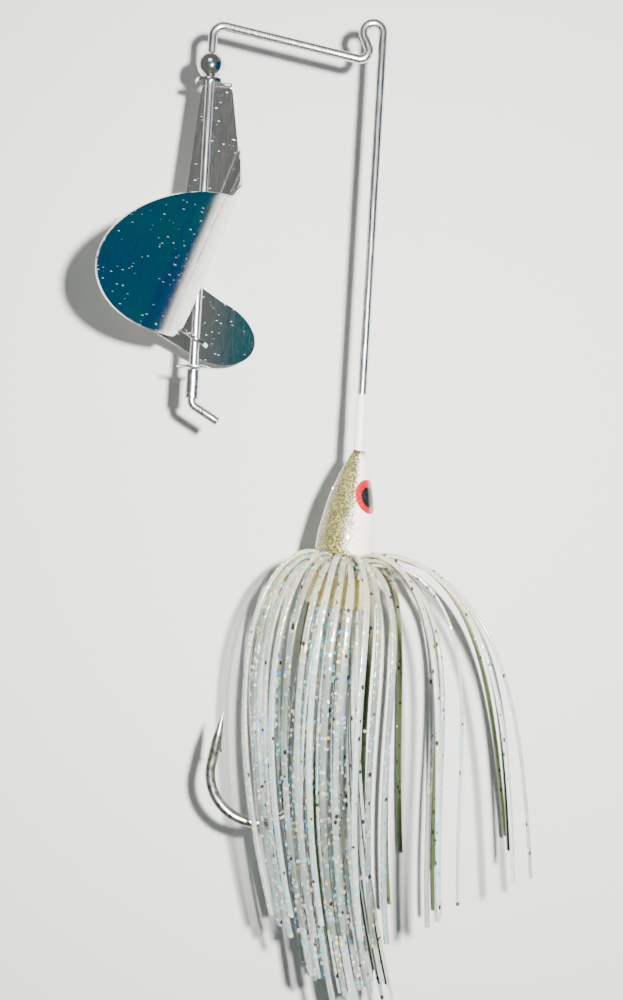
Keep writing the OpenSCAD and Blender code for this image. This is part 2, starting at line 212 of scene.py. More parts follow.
# ---------- material helpers ----------
class Finish:
    """A Principled material with short calls for its nodes."""

    def __init__(self, name, color=(0.8, 0.8, 0.8), **sockets):
        self.material = bpy.data.materials.new(name)
        self.material.use_nodes = True
        self.tree = self.material.node_tree
        self.shader = self.tree.nodes["Principled BSDF"]
        self.shader.inputs["Base Color"].default_value = (*color, 1)
        for socket, value in sockets.items():
            self.shader.inputs[socket.replace("_", " ")].default_value = value
        self.place = self.tree.nodes.new("ShaderNodeTexCoord").outputs["Object"]

    def put(self, socket, value):
        if isinstance(value, bpy.types.NodeSocket):
            self.tree.links.new(value, socket)
        else:
            socket.default_value = value

    def mapped(self, scale=(1, 1, 1), turn=(0, 0, 0), shift=(0, 0, 0)):
        node = self.tree.nodes.new("ShaderNodeMapping")
        self.put(node.inputs["Vector"], self.place)
        node.inputs["Scale"].default_value = scale
        node.inputs["Rotation"].default_value = turn
        node.inputs["Location"].default_value = shift
        return node.outputs[0]

    def noise(self, scale, detail=3, vector=None):
        node = self.tree.nodes.new("ShaderNodeTexNoise")
        self.put(node.inputs["Vector"], vector or self.place)
        node.inputs["Scale"].default_value = scale
        node.inputs["Detail"].default_value = detail
        return node.outputs["Fac"]

    def cells(self, scale, vector=None):
        node = self.tree.nodes.new("ShaderNodeTexVoronoi")
        self.put(node.inputs["Vector"], vector or self.place)
        node.inputs["Scale"].default_value = scale
        return node.outputs["Distance"], node.outputs["Color"]

    def math(self, kind, a, b=0.0):
        node = self.tree.nodes.new("ShaderNodeMath")
        node.operation = kind
        self.put(node.inputs[0], a)
        self.put(node.inputs[1], b)
        return node.outputs[0]

    def split(self, vector):
        node = self.tree.nodes.new("ShaderNodeSeparateXYZ")
        self.put(node.inputs[0], vector)
        return node.outputs

    def ramp(self, value, *stops):
        node = self.tree.nodes.new("ShaderNodeValToRGB")
        self.put(node.inputs[0], value)
        points = node.color_ramp.elements
        while len(points) < len(stops):
            points.new(0.5)
        for point, (at, color) in zip(points, stops):
            point.position = at
            point.color = (*color, 1) if isinstance(color, tuple) else (color, color, color, 1)
        return node.outputs[0]

    def mix(self, share, a, b):
        node = self.tree.nodes.new("ShaderNodeMix")
        node.data_type = "RGBA"
        self.put(node.inputs[0], share)
        for socket, value in ((node.inputs[6], a), (node.inputs[7], b)):
            self.put(socket, (*value, 1) if isinstance(value, tuple) else value)
        return node.outputs[2]

    def bump(self, height, strength, distance):
        node = self.tree.nodes.new("ShaderNodeBump")
        self.put(node.inputs["Height"], height)
        node.inputs["Strength"].default_value = strength
        node.inputs["Distance"].default_value = distance
        self.put(self.shader.inputs["Normal"], node.outputs[0])

    def color(self, value):
        self.put(self.shader.inputs["Base Color"], value)

    def rough(self, value):
        self.put(self.shader.inputs["Roughness"], value)

    def metal(self, value):
        self.put(self.shader.inputs["Metallic"], value)

    def attribute(self, name):
        node = self.tree.nodes.new("ShaderNodeAttribute")
        node.attribute_name = name
        return node.outputs["Fac"]


def wire_finish():
    f = Finish("wire", Roughness=0.28)
    height = f.math("MULTIPLY", f.split(f.place)[2], 1 / MM)
    ragged = f.math("ADD", height, f.math("MULTIPLY", f.noise(1500), 1.4))
    across = f.math("GREATER_THAN", f.split(f.place)[0], -10 * MM)
    low = f.ramp(f.math("ADD", f.math("MULTIPLY", ragged, -1.0), -51.6), (0.0, 0.0), (0.3, 1.0))
    painted = f.math("MULTIPLY", low, across)
    drawn = f.noise(900, 4, f.mapped((6, 6, 0.4)))
    steel = f.ramp(drawn, (0.3, (0.42, 0.43, 0.42)), (0.7, (0.74, 0.75, 0.73)))
    f.color(f.mix(painted, steel, (0.86, 0.83, 0.73)))
    f.metal(f.math("SUBTRACT", 1.0, painted))
    f.rough(f.ramp(drawn, (0.2, 0.2), (0.8, 0.36)))
    f.bump(drawn, 0.25, 0.00004)
    return f.material


def hook_finish():
    f = Finish("hook steel", Metallic=1.0)
    drawn = f.noise(1100, 4)
    f.color(f.ramp(drawn, (0.3, (0.30, 0.30, 0.27)), (0.7, (0.56, 0.55, 0.50))))
    f.rough(f.ramp(drawn, (0.2, 0.2), (0.8, 0.38)))
    f.bump(drawn, 0.2, 0.00003)
    return f.material


def blade_finish():
    f = Finish("polished sheet", Metallic=1.0)
    fine = f.noise(500, 5, f.mapped((8, 8, 0.7), (0, 0.5, 0)))
    near, _ = f.cells(1500, f.mapped((0.45, 0.45, 1.9), (0, 0.25, 0)))
    patch = f.noise(260, 4)
    nick = f.math("MULTIPLY", f.ramp(near, (0.10, 1.0), (0.16, 0.0)),
                  f.ramp(patch, (0.42, 0.0), (0.55, 1.0)))
    f.color(f.ramp(fine, (0.3, (0.78, 0.77, 0.74)), (0.7, (0.93, 0.92, 0.89))))
    f.rough(f.math("ADD", f.ramp(fine, (0.2, 0.06), (0.8, 0.13)),
                   f.math("MULTIPLY", nick, 0.45)))
    f.bump(f.math("ADD", f.math("MULTIPLY", fine, 0.3), f.math("ADD", nick, patch)),
           0.25, 0.00003)
    return f.material


def bright_finish(name, color, low, high):
    f = Finish(name, Metallic=1.0)
    f.color(f.ramp(f.noise(700), (0.3, tuple(0.85 * c for c in color)), (0.7, color)))
    f.rough(f.ramp(f.noise(1200), (0.3, low), (0.7, high)))
    f.bump(f.noise(1500), 0.15, 0.00002)
    return f.material


def head_finish():
    f = Finish("head paint", Coat_Weight=0.8, Coat_Roughness=0.08, Roughness=0.3)
    local = f.tree.nodes.new("ShaderNodeMapping")
    local.vector_type = "TEXTURE"
    f.put(local.inputs["Vector"], f.place)
    local.inputs["Location"].default_value = (TIE_R * MM, 0, -ARM_LEN * MM)
    local.inputs["Rotation"].default_value = (0, math.radians(HEAD_TILT), 0)
    x, y, z = f.split(local.outputs[0])
    azimuth = f.math("ARCTAN2", y, x)
    off = f.math("ABSOLUTE", f.math("ADD", azimuth, math.radians(132)))
    grit, tint = f.cells(6200)
    speckle = f.math("MULTIPLY", f.math("SUBTRACT", f.noise(3600, 6), 0.5), 1.0)
    stripe = f.ramp(f.math("SUBTRACT", 0.95, f.math("ADD", off, speckle)),
                    (0.0, 0.0), (0.12, 1.0))
    hue = f.split(tint)[0]
    flakes = f.ramp(hue, (0.0, (0.01, 0.01, 0.005)), (0.45, (0.05, 0.05, 0.015)),
                    (0.65, (0.24, 0.19, 0.05)), (0.9, (0.62, 0.50, 0.18)))
    olive = f.ramp(f.noise(420), (0.3, (0.06, 0.065, 0.025)), (0.7, (0.20, 0.19, 0.08)))
    rim = f.ramp(off, (0.15, 0.35), (0.75, 1.0))
    glitter = f.mix(rim, olive, flakes)
    cream = f.ramp(f.noise(300), (0.3, (0.86, 0.82, 0.70)), (0.7, (0.93, 0.91, 0.83)))
    scorched = f.ramp(f.math("ADD", f.math("MULTIPLY", z, 1 / MM),
                             f.math("MULTIPLY", f.noise(2500), 1.2)), (0.0, 0.0), (0.7, 1.0))
    f.color(f.mix(scorched, f.mix(stripe, cream, glitter), (0.06, 0.045, 0.03)))
    f.bump(f.math("ADD", f.noise(900), f.math("MULTIPLY", grit, stripe)), 0.4, 0.00006)
    return f.material


def eye_finish(name, dark, light):
    f = Finish(name, Coat_Weight=1.0, Coat_Roughness=0.03, Roughness=0.22)
    f.color(f.ramp(f.noise(3500, 4), (0.35, dark), (0.7, light)))
    f.bump(f.noise(3000), 0.1, 0.00002)
    return f.material


def band_finish():
    f = Finish("amber rubber", Roughness=0.42, Transmission_Weight=0.35, IOR=1.5)
    f.color(f.ramp(f.noise(500, 4), (0.3, (0.80, 0.58, 0.16)), (0.7, (0.97, 0.88, 0.48))))
    f.bump(f.noise(1600), 0.25, 0.00006)
    return f.material


def strand_finish(name, dark, light, flake_share, spot_share, clear):
    """Silicone with dark spots and, on the clear kinds, bright flakes of several hues. The flakes
    also glow in their hues as painted glints, and a painted amber light of the band tints the
    strands near it.
    """
    f = Finish(name, Transmission_Weight=clear, IOR=1.41, Coat_Weight=0.4, Coat_Roughness=0.12)
    streak = f.noise(260, 3, f.mapped((1, 1, 0.25)))
    tone = f.math("MULTIPLY", f.attribute("tone"), 0.6)
    shade_share = f.math("ADD", f.math("MULTIPLY", streak, 0.6), tone)
    base = f.ramp(shade_share, (0.25, dark), (0.8, light))
    near, cell = f.cells(1500)
    pick, hue, _ = f.split(cell)
    flake = f.math("MULTIPLY", f.math("LESS_THAN", near, 0.38),
                   f.math("LESS_THAN", pick, flake_share))
    hues = f.ramp(hue, (0.1, (0.10, 0.85, 0.85)), (0.3, (0.25, 0.45, 1.0)),
                  (0.45, (0.9, 0.95, 1.0)), (0.7, (1.0, 0.60, 0.50)), (0.9, (1.0, 0.80, 0.25)))
    near_spot, spot_cell = f.cells(1000, f.mapped((1.2, 1.2, 0.9)))
    spot = f.math("MULTIPLY", f.math("LESS_THAN", near_spot, 0.30),
                  f.math("LESS_THAN", f.split(spot_cell)[0], spot_share))
    height = f.math("MULTIPLY", f.split(f.place)[2], 1 / MM)
    # Painted light: strands near and above the band are tinted amber, standing in for the amber
    # band showing through them.
    painted_band_light = f.ramp(f.math("MULTIPLY", f.math("ADD", height, 94), 0.06), (0.0, 0.0), (1.0, 0.55))
    base = f.mix(painted_band_light, base, (0.80, 0.74, 0.46))
    f.color(f.mix(spot, f.mix(flake, base, hues), (0.015, 0.015, 0.012)))
    f.metal(f.math("MULTIPLY", flake, 0.8))
    # Painted glints: the flakes emit light in their own hues, standing in for sparkle caught from
    # the lamps.
    f.put(f.shader.inputs["Emission Color"], hues)
    f.put(f.shader.inputs["Emission Strength"], f.math("MULTIPLY", flake, 1.2))
    f.rough(f.ramp(streak, (0.2, 0.24), (0.8, 0.40)))
    f.bump(f.noise(1400), 0.2, 0.00004)
    return f.material


# ---------- mesh helpers ----------
def add_object(name, mesh, material, body, slot, *nodes):
    mesh.name = name
    mesh.materials.clear()
    mesh.materials.append(material)
    piece = held(name, mesh)
    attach(piece, body)
    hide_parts(*nodes)


def mesh_from(build, smooth_angle=35):
    shape = bmesh.new()
    build(shape)
    bmesh.ops.remove_doubles(shape, verts=shape.verts, dist=0.00001 * MM)
    bmesh.ops.recalc_face_normals(shape, faces=shape.faces)
    mesh = bpy.data.meshes.new("piece")
    shape.to_mesh(mesh)
    shape.free()
    return shade(mesh, smooth_angle)


def grid(shape, rows, closed=False):
    """Quads between rows of points in millimetres."""
    verts = [[shape.verts.new(Vector(p) * MM) for p in row] for row in rows]
    for a, b in zip(verts, verts[1:]):
        count = len(a) if closed else len(a) - 1
        for i in range(count):
            j = (i + 1) % len(a)
            corners = [a[i], a[j], b[j], b[i]]
            if len({tuple(c.co) for c in corners}) > 2:
                shape.faces.new(corners)
    return verts


def lathe(shape, profile, place, sides=64, wobble=lambda a, z: 0):
    """A closed turned shape. profile goes round the section, as (radius, height)."""
    rows = []
    for r, z in profile:
        ring = []
        for i in range(sides):
            a = 2 * math.pi * i / sides
            reach = r + (wobble(a, z) if r > 0 else 0)
            ring.append(place @ Vector((reach * math.cos(a), reach * math.sin(a), z)))
        rows.append(ring)
    grid(shape, rows, closed=True)


def applied(holder):
    """The mesh that a holder's modifiers make. The holder is removed."""
    graph = bpy.context.evaluated_depsgraph_get()
    done = bpy.data.meshes.new_from_object(holder.evaluated_get(graph))
    bpy.data.objects.remove(holder)
    return done


def shade(mesh, smooth_angle):
    for face in mesh.polygons:
        face.use_smooth = True
    mesh.set_sharp_from_angle(angle=math.radians(smooth_angle))
    return mesh


def finish_sheet(mesh, thickness, edge, cutter=None):
    """Gives a surface its thickness, a slot cut by another mesh, and eased edges."""
    holder = held("holder", mesh)
    wall = holder.modifiers.new("wall", "SOLIDIFY")
    wall.thickness = thickness * MM
    wall.offset = 0
    if cutter:
        slot = held("slot", cutter)
        cut = holder.modifiers.new("cut", "BOOLEAN")
        cut.object = slot
        cut.solver = "EXACT"
    ease = holder.modifiers.new("ease", "BEVEL")
    ease.width = edge * MM
    ease.segments = 2
    ease.limit_method = "ANGLE"
    done = applied(holder)
    if cutter:
        bpy.data.objects.remove(slot)
    return done


def joined(meshes, smooth_angle):
    shape = bmesh.new()
    for mesh in meshes:
        shape.from_mesh(mesh)
    whole = bpy.data.meshes.new("joined")
    shape.to_mesh(whole)
    shape.free()
    return shade(whole, smooth_angle)


# ---------- Geometry Nodes: a section swept along paths ----------
def sweep_tree():
    """Sweeps a rounded section along edge paths. Points carry side, girth and tone."""
    tree = bpy.data.node_groups.new("swept section", "GeometryNodeTree")
    face = tree.interface
    face.new_socket("Path", in_out="INPUT", socket_type="NodeSocketGeometry")
    for label in ("Width", "Thickness", "Corner radius"):
        face.new_socket(label, in_out="INPUT", socket_type="NodeSocketFloat")
    face.new_socket("Corner steps", in_out="INPUT", socket_type="NodeSocketInt")
    face.new_socket("Material", in_out="INPUT", socket_type="NodeSocketMaterial")
    face.new_socket("Mesh", in_out="OUTPUT", socket_type="NodeSocketGeometry")
    add = tree.nodes.new
    link = tree.links.new
    given = add("NodeGroupInput").outputs
    curve = add("GeometryNodeMeshToCurve")
    link(given["Path"], curve.inputs[0])
    side = add("GeometryNodeInputNamedAttribute")
    side.data_type = "FLOAT_VECTOR"
    side.inputs["Name"].default_value = "side"
    normal = add("GeometryNodeSetCurveNormal")
    if hasattr(normal, "mode"):
        normal.mode = "FREE"
    link(curve.outputs[0], normal.inputs["Curve"])
    link(side.outputs["Attribute"], normal.inputs["Normal"])
    girth = add("GeometryNodeInputNamedAttribute")
    girth.inputs["Name"].default_value = "girth"
    section = add("GeometryNodeCurvePrimitiveQuadrilateral")
    link(given["Width"], section.inputs["Width"])
    link(given["Thickness"], section.inputs["Height"])
    corner = add("GeometryNodeFilletCurve")
    corner.mode = "POLY"
    link(section.outputs[0], corner.inputs["Curve"])
    link(given["Corner steps"], corner.inputs["Count"])
    link(given["Corner radius"], corner.inputs["Radius"])
    corner.inputs["Limit Radius"].default_value = True
    sweep = add("GeometryNodeCurveToMesh")
    link(normal.outputs[0], sweep.inputs["Curve"])
    link(corner.outputs[0], sweep.inputs["Profile Curve"])
    link(girth.outputs["Attribute"], sweep.inputs["Scale"])
    sweep.inputs["Fill Caps"].default_value = True
    real = add("GeometryNodeRealizeInstances")
    link(sweep.outputs[0], real.inputs[0])
    paint = add("GeometryNodeSetMaterial")
    link(real.outputs[0], paint.inputs[0])
    link(given["Material"], paint.inputs["Material"])
    link(paint.outputs[0], add("NodeGroupOutput").inputs[0])
    return tree


def swept(tree, paths, width, thickness, corner, corner_steps, material):
    """One mesh of all paths. Each path is a list of (point, side, girth, tone)."""
    points = [p for path in paths for p in path]
    edges = []
    start = 0
    for path in paths:
        edges += [(start + i, start + i + 1) for i in range(len(path) - 1)]
        start += len(path)
    mesh = bpy.data.meshes.new("paths")
    mesh.from_pydata([Vector(p[0]) * MM for p in points], edges, [])
    columns = (("side", "FLOAT_VECTOR", "vector", [c for p in points for c in p[1]]),
               ("girth", "FLOAT", "value", [p[2] for p in points]),
               ("tone", "FLOAT", "value", [p[3] for p in points]))
    for label, kind, field, values in columns:
        mesh.attributes.new(label, kind, "POINT").data.foreach_set(field, values)
    holder = held("paths", mesh)
    swept_by = holder.modifiers.new("sweep", "NODES")
    swept_by.node_group = tree
    named = {item.name: item.identifier for item in tree.interface.items_tree
             if item.in_out == "INPUT"}
    swept_by[named["Width"]] = width * MM
    swept_by[named["Thickness"]] = thickness * MM
    swept_by[named["Corner radius"]] = corner * MM
    swept_by[named["Corner steps"]] = corner_steps
    swept_by[named["Material"]] = material
    return shade(applied(holder), 50)


# ---------- wire and hook ----------
def walk(start, heading, path, step=0.4):
    """Points of straight runs and bends in the XZ plane. Each item is (length, turn, radius)."""
    x, z = start
    points = [(x, z)]
    for length, turn, radius in path:
        count = max(1, round(length / (4 * step)))
        for _ in range(count if length > 0 else 0):
            x += length / count * cosd(heading)
            z += length / count * sind(heading)
            points.append((x, z))
        count = max(2, round(abs(turn) / 6)) if turn else 0
        for _ in range(count):
            part = turn / count
            chord = 2 * radius * math.sin(math.radians(abs(part)) / 2)
            x += chord * cosd(heading + part / 2)
            z += chord * sind(heading + part / 2)
            heading += part
            points.append((x, z))
    return points


def wire_points():
    leg = 90 + CURL_TURN
    arm = 180 - ARM_SLOPE
    start_x = (TIE_R * cosd(CURL_TURN) + LEG_STRAIGHT * cosd(leg)
               + TIE_BEND_R * (sind(leg) - sind(arm)))
    start_z = (TIE_R * sind(CURL_TURN) + LEG_STRAIGHT * sind(leg)
               - TIE_BEND_R * (cosd(leg) - cosd(arm)))
    upper = (SHAFT_X - start_x + TOP_BEND_R * (1 + sind(arm))) / cosd(arm)
    shaft = start_z + upper * sind(arm) + TOP_BEND_R * cosd(arm) - SHAFT_BOTTOM
    away = walk((TIE_R, 0), 90, [(0, CURL_TURN, TIE_R), (LEG_STRAIGHT, arm - leg, TIE_BEND_R),
                                 (upper, 90 + ARM_SLOPE, TOP_BEND_R),
                                 (shaft, TAIL_TURN, TAIL_BEND_R), (TAIL_LEN, 0, 1)])
    down = walk((TIE_R, 0), -90, [(ARM_LEN + 1.5, 0, 1)])
    return away[::-1] + down[1:]


def make_wire(tree, material):
    points = wire_points()
    side = Vector((0, 1, 0))
    path = []
    for i, (x, z) in enumerate(points):
        painted = smooth(52, 55, -z) * (x > 0)
        girth = 1 + 0.13 * painted + 0.03 * math.sin(2.1 * z) * painted
        path.append(((x, 0, z), side, 0.92 if i == 0 else girth, 0))
    first = Vector(path[0][0])
    inner = first + (Vector(path[1][0]) - first).normalized() * 0.08
    path.insert(1, (tuple(inner), side, 1, 0))
    mesh = swept(tree, [path], WIRE_D, WIRE_D, WIRE_D / 2, 8, material)
    add_object("wire", mesh, material, "frame", "wire", "wire_form")


def make_hook(tree, material):
    side = Vector((0, 1, 0))
    hidden = HEAD_LEN + 2
    local = walk((0, -hidden), -90, [(SHANK_LEN - hidden, -HOOK_TURN, GAPE_R),
                                     (POINT_LEN - TAPER_LEN, 0, 1)])
    heading = -90 - HOOK_TURN
    along = Vector((cosd(heading), 0, sind(heading)))
    end = local[-1]
    path = [((x, 0, z), 1.0) for x, z in local]
    count = 12
    for i in range(1, count + 1):
        s = i / count
        away = TAPER_LEN * s
        at = (end[0] + away * cosd(heading), 0, end[1] + away * sind(heading))
        path.append((at, max(0.05, 1 - s ** 1.5)))
    swept_path = [(HEAD_FRAME @ Vector(p), side, g, 0) for p, g in path]
    mesh = swept(tree, [swept_path], HOOK_D, HOOK_D, HOOK_D / 2, 8, material)
    inward = Vector((along.z, 0, -along.x))
    base = Vector((end[0], 0, end[1])) + along * (TAPER_LEN - BARB_DROP)

    def barb(shape):
        outline = [(0.30, 0.1), (1.15, -0.75), (0.75, 0.35), (0.30, 1.9)]
        rows = []
        for y, scale in ((-0.2, 0.7), (0, 1.0), (0.2, 0.7)):
            rows.append([HEAD_FRAME @ (base + inward * (0.3 + (a - 0.3) * scale) + along * b
                                       + Vector((0, y, 0))) for a, b in outline])
        grid(shape, rows, closed=True)
        for row in (rows[0], rows[-1]):
            shape.faces.new([shape.verts.new(p * MM) for p in row])

    mesh = joined([mesh, mesh_from(barb)], 50)
    add_object("hook", mesh, material, "frame", "hook_steel", "hook")


# ---------- head and eyes ----------
OGIVE_R = (HEAD_LEN ** 2 + (HEAD_R - NOSE_R) ** 2) / (2 * (HEAD_R - NOSE_R))


def head_radius(s):
    return math.sqrt(OGIVE_R ** 2 - (HEAD_LEN - s) ** 2) - (OGIVE_R - HEAD_R)


def make_head(material):
    round_r = 0.8
    fillet = 0.4
    side_len = HEAD_LEN - round_r
    profile = [(0, 0.35), (0.8, 0.25)]
    profile += [(head_radius(side_len * k / 40), -side_len * k / 40) for k in range(41)]
    profile += [(HEAD_R - round_r + round_r * cosd(a), -side_len - round_r * sind(a))
                for a in range(10, 91, 10)]
    profile += [(COLLAR_R + fillet, -HEAD_LEN), (COLLAR_R, -HEAD_LEN - fillet)]
    profile += [(COLLAR_R, -HEAD_LEN - COLLAR_LEN), (0, -HEAD_LEN - COLLAR_LEN)]

    def cast(a, z):
        lump = 0.05 * math.sin(3 * a + 0.6 * z) * math.sin(0.7 * z + a)
        crust = 0.16 * math.sin(5 * a + 1.3) * math.sin(9 * z) * smooth(-1.6, -0.4, z)
        return lump * smooth(0, 3, -z) * smooth(-HEAD_LEN, -13, z) + crust

    mesh = mesh_from(lambda shape: lathe(shape, profile, HEAD_FRAME, 96, cast))
    add_object("head", mesh, material, "frame", "head_paint", "head")


def eye_cap(shape, azimuth, radius, lift, drop):
    """A painted dot that follows the side of the head, a little drawn out towards the nose."""
    rings = 12
    rows = []
    for k in range(rings + 2):
        share = min(1, k / rings)
        height = lift * math.sqrt(max(0, 1 - 0.8 * share ** 4)) if k <= rings else -drop
        row = []
        for i in range(56):
            a = 2 * math.pi * i / 56
            reach = radius * share * (1 + 0.10 * max(0, math.cos(a)) ** 3)
            s = EYE_STATION - reach * math.cos(a)
            r = head_radius(s) + height
            turn = math.radians(azimuth) + reach * math.sin(a) / head_radius(s)
            row.append(HEAD_FRAME @ Vector((r * math.cos(turn), r * math.sin(turn), -s)))
        rows.append(row)
    grid(shape, rows, closed=True)


def make_eyes(iris_material, pupil_material):
    for side, azimuth in (("right", EYE_AZIMUTH), ("left", EYE_AZIMUTH + 180)):
        dot = mesh_from(lambda shape: eye_cap(shape, azimuth, IRIS_R, 0.10, 0.3), 60)
        add_object(side + "_eye_iris", dot, iris_material, "frame", "iris_paint", side + "_iris")
        dot = mesh_from(lambda shape: eye_cap(shape, azimuth, PUPIL_R, 0.18, 0.1), 60)
        add_object(side + "_eye_pupil", dot, pupil_material, "frame", "pupil_paint",
                   side + "_pupil")


# ---------- bead and rivet ----------
def make_bead(material):
    bore = WIRE_D / 2 + RUN_GAP
    lip = math.degrees(math.asin((bore + 0.12) / BEAD_R))
    profile = [(BEAD_R * sind(a), BEAD_R * cosd(a))
               for a in [lip + (180 - 2 * lip) * k / 40 for k in range(41)]]
    edge = BEAD_R * cosd(lip) - 0.08
    profile += [(bore, -edge), (bore, edge), profile[0]]
    place = Matrix.Translation((SHAFT_X, 0, BEAD_Z))
    mesh = mesh_from(lambda shape: lathe(shape, profile, place))
    add_object("bead_ball", mesh, material, "bead", "bead_metal", "bead")


def make_rivet(material):
    low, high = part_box("rivet")
    flange = (high[0] - low[0]) / 2 / MM
    length = (high[2] - low[2]) / MM
    bore = WIRE_D / 2 + RUN_GAP
    profile = [(bore, 0), (bore + 0.1, 0.0), (flange - 0.15, -0.04), (flange, -0.16),
               (flange, -0.28), (flange - 0.12, -0.4), (BARREL_R + 0.25, -0.42),
               (BARREL_R, -0.65), (BARREL_R, -length + 0.12), (BARREL_R - 0.12, -length),
               (bore, -length), (bore, 0)]
    place = Matrix.Translation((SHAFT_X, 0, RIVET_TOP))
    mesh = mesh_from(lambda shape: lathe(shape, profile, place))
    add_object("rivet_body", mesh, material, "rivet", "rivet_metal", "rivet")


# ---------- blade ----------
def bend_section(fold, u):
    """Place across the bend at a distance u along the sheet: out of the panel, and back.

    The last degrees of the turn are spread over the start of the flat, as in a pressed sheet.
    """
    soft_turn = 12
    soft_len = 7.5
    turn = 180 - fold - soft_turn
    arc = BEND_R * math.radians(turn)
    a = 90 - min(turn, math.degrees(u / BEND_R))
    p = BEND_R * (cosd(a) - 1)
    q = BEND_R * (sind(a) - 1)
    steps = 12
    for k in range(steps):
        run = min(soft_len / steps, max(0, u - arc - k * soft_len / steps))
        heading = fold + soft_turn * (1 - (k + 0.5) / steps)
        p -= run * cosd(heading)
        q -= run * sind(heading)
    rest = max(0, u - arc - soft_len)
    return p - rest * cosd(fold), q - rest * sind(fold)


def wing_reach(fold, flat):
    return -bend_section(fold, BEND_R * math.radians(180 - fold) + flat)[0]


def front_span(p, inner):
    """Where the front wing starts and ends along its bend line, at p out of the panel."""
    if inner:
        return 0.1 + 2.16 * p, BEND_END
    reach = wing_reach(FRONT_FOLD, FRONT_FLAT)
    out = -p
    half = LOBE_H * math.sqrt(max(0, 1 - (out / reach) ** 2))
    mid = LOBE_MID + LOBE_FALL * out
    near = min(1, out / 0.7)
    return (mid - half) * near ** 0.6, mid + half - 1.6 * (1 - near)


def rear_span(p, inner):
    """The same for the rear wing, an oval joined to a narrower root."""
    if inner:
        return ROOT_TOP + 0.56 * p, ROOT_END
    reach = wing_reach(REAR_FOLD, REAR_FLAT)
    centre = reach - OVAL_W
    if -p < centre:
        share_out = -p / centre
        return (ROOT_TOP + (OVAL_MID - OVAL_H - ROOT_TOP) * share_out,
                ROOT_END + (OVAL_MID + OVAL_H - ROOT_END) * share_out)
    half = OVAL_H * math.sqrt(max(0, 1 - ((-p - centre) / OVAL_W) ** 2))
    return OVAL_MID - half, OVAL_MID + half


def on_wing(front, p, q, v):
    x = p * cosd(BEND_SLOPE)
    z = -p * sind(BEND_SLOPE)
    shift = RIGHT_HALF if front else -LEFT_HALF
    side = 1 if front else -1
    return (SHAFT_X + shift + side * x - v * sind(BEND_SLOPE), PANEL_Y + side * q,
            CORNER_Z + side * z - v * cosd(BEND_SLOPE))


def add_wing(shape, front):
    fold, flat, span = ((FRONT_FOLD, FRONT_FLAT, front_span) if front
                        else (REAR_FOLD, REAR_FLAT, rear_span))
    arc = BEND_R * math.radians(180 - fold)
    quarter = BEND_R * math.pi / 2
    columns = [quarter * k / 16 for k in range(17)] + [quarter + 0.001]
    columns += [quarter + (arc - quarter) * k / 12 for k in range(1, 13)]
    columns += [arc + flat * sind(90 * k / 56) for k in range(1, 57)]
    rows = []
    for u in columns:
        p, q = bend_section(fold, u)
        top, low = span(p, u <= quarter)
        rows.append([on_wing(front, p, q, top + (low - top) * j / 48) for j in range(49)])
    grid(shape, rows)


def add_panel(shape):
    """The flat strip between the bends, with its top rolled forwards into the upper ear."""
    roll = 0.45
    side = BEND_R / cosd(BEND_SLOPE)
    slope = math.tan(math.radians(BEND_SLOPE))
    top = EAR_TOP - SHEET_T / 2
    rows = []
    for k in range(7):
        a = 90 - 15 * k
        rows.append([(SHAFT_X - TAB_LEFT + (TAB_LEFT + TAB_RIGHT) * i / 12,
                      PANEL_Y - roll + roll * cosd(a), top - roll + roll * sind(a))
                     for i in range(13)])
    end = CORNER_Z - (BEND_END - 0.5) * cosd(BEND_SLOPE)
    left_low = CORNER_Z - ROOT_END * cosd(BEND_SLOPE)
    knee_right = CORNER_Z + TAB_FLARE
    knee_left = CORNER_Z - LEFT_START
    for k in range(1, 61):
        z = top - roll + (end - top + roll) * k / 60
        drop = CORNER_Z - z
        right = RIGHT_HALF - side - drop * slope
        left = side - LEFT_HALF - drop * slope
        if z > knee_right:
            share_down = (EAR_TOP - z) / (EAR_TOP - knee_right)
            right = TAB_RIGHT + (RIGHT_HALF - side + TAB_FLARE * slope - TAB_RIGHT) * share_down
        if z > knee_left:
            share_down = (EAR_TOP - z) / (EAR_TOP - knee_left)
            left = -TAB_LEFT + (side - LEFT_HALF - LEFT_START * slope + TAB_LEFT) * share_down
        if z < left_low:
            share_down = (left_low - z) / (left_low - end)
            left = left + (right - left) * 0.98 * share_down
        rows.append([(SHAFT_X + left + (right - left) * i / 12, PANEL_Y, z) for i in range(13)])
    grid(shape, rows)


def add_ear(shape, z, tilt, reach_at):
    bore = WIRE_D / 2 + 0.08
    turn = Matrix.Rotation(math.radians(tilt), 4, "Y")
    rows = []
    for k in range(6):
        row = []
        for i in range(72):
            a = 5 * i
            inner = Vector((bore * cosd(a) / cosd(tilt), bore * sind(a), 0))
            outer = Vector((reach_at(a) * cosd(a), reach_at(a) * sind(a), 0))
            row.append(Vector((SHAFT_X, 0, z)) + turn @ inner.lerp(outer, k / 5))
        rows.append(row)
    grid(shape, rows, closed=True)


def upper_reach(a):
    behind = (PANEL_Y - 0.1) / max(0.01, sind(a))
    return min(EAR_HUB_R, behind) if sind(a) > 0 else EAR_HUB_R


def lower_reach(a):
    if cosd(a) > -0.2:
        return EAR_HUB_R
    return max(EAR_HUB_R, min(EAR_ARM / -cosd(a), (PANEL_Y - 0.1) / max(0.01, abs(sind(a)))))


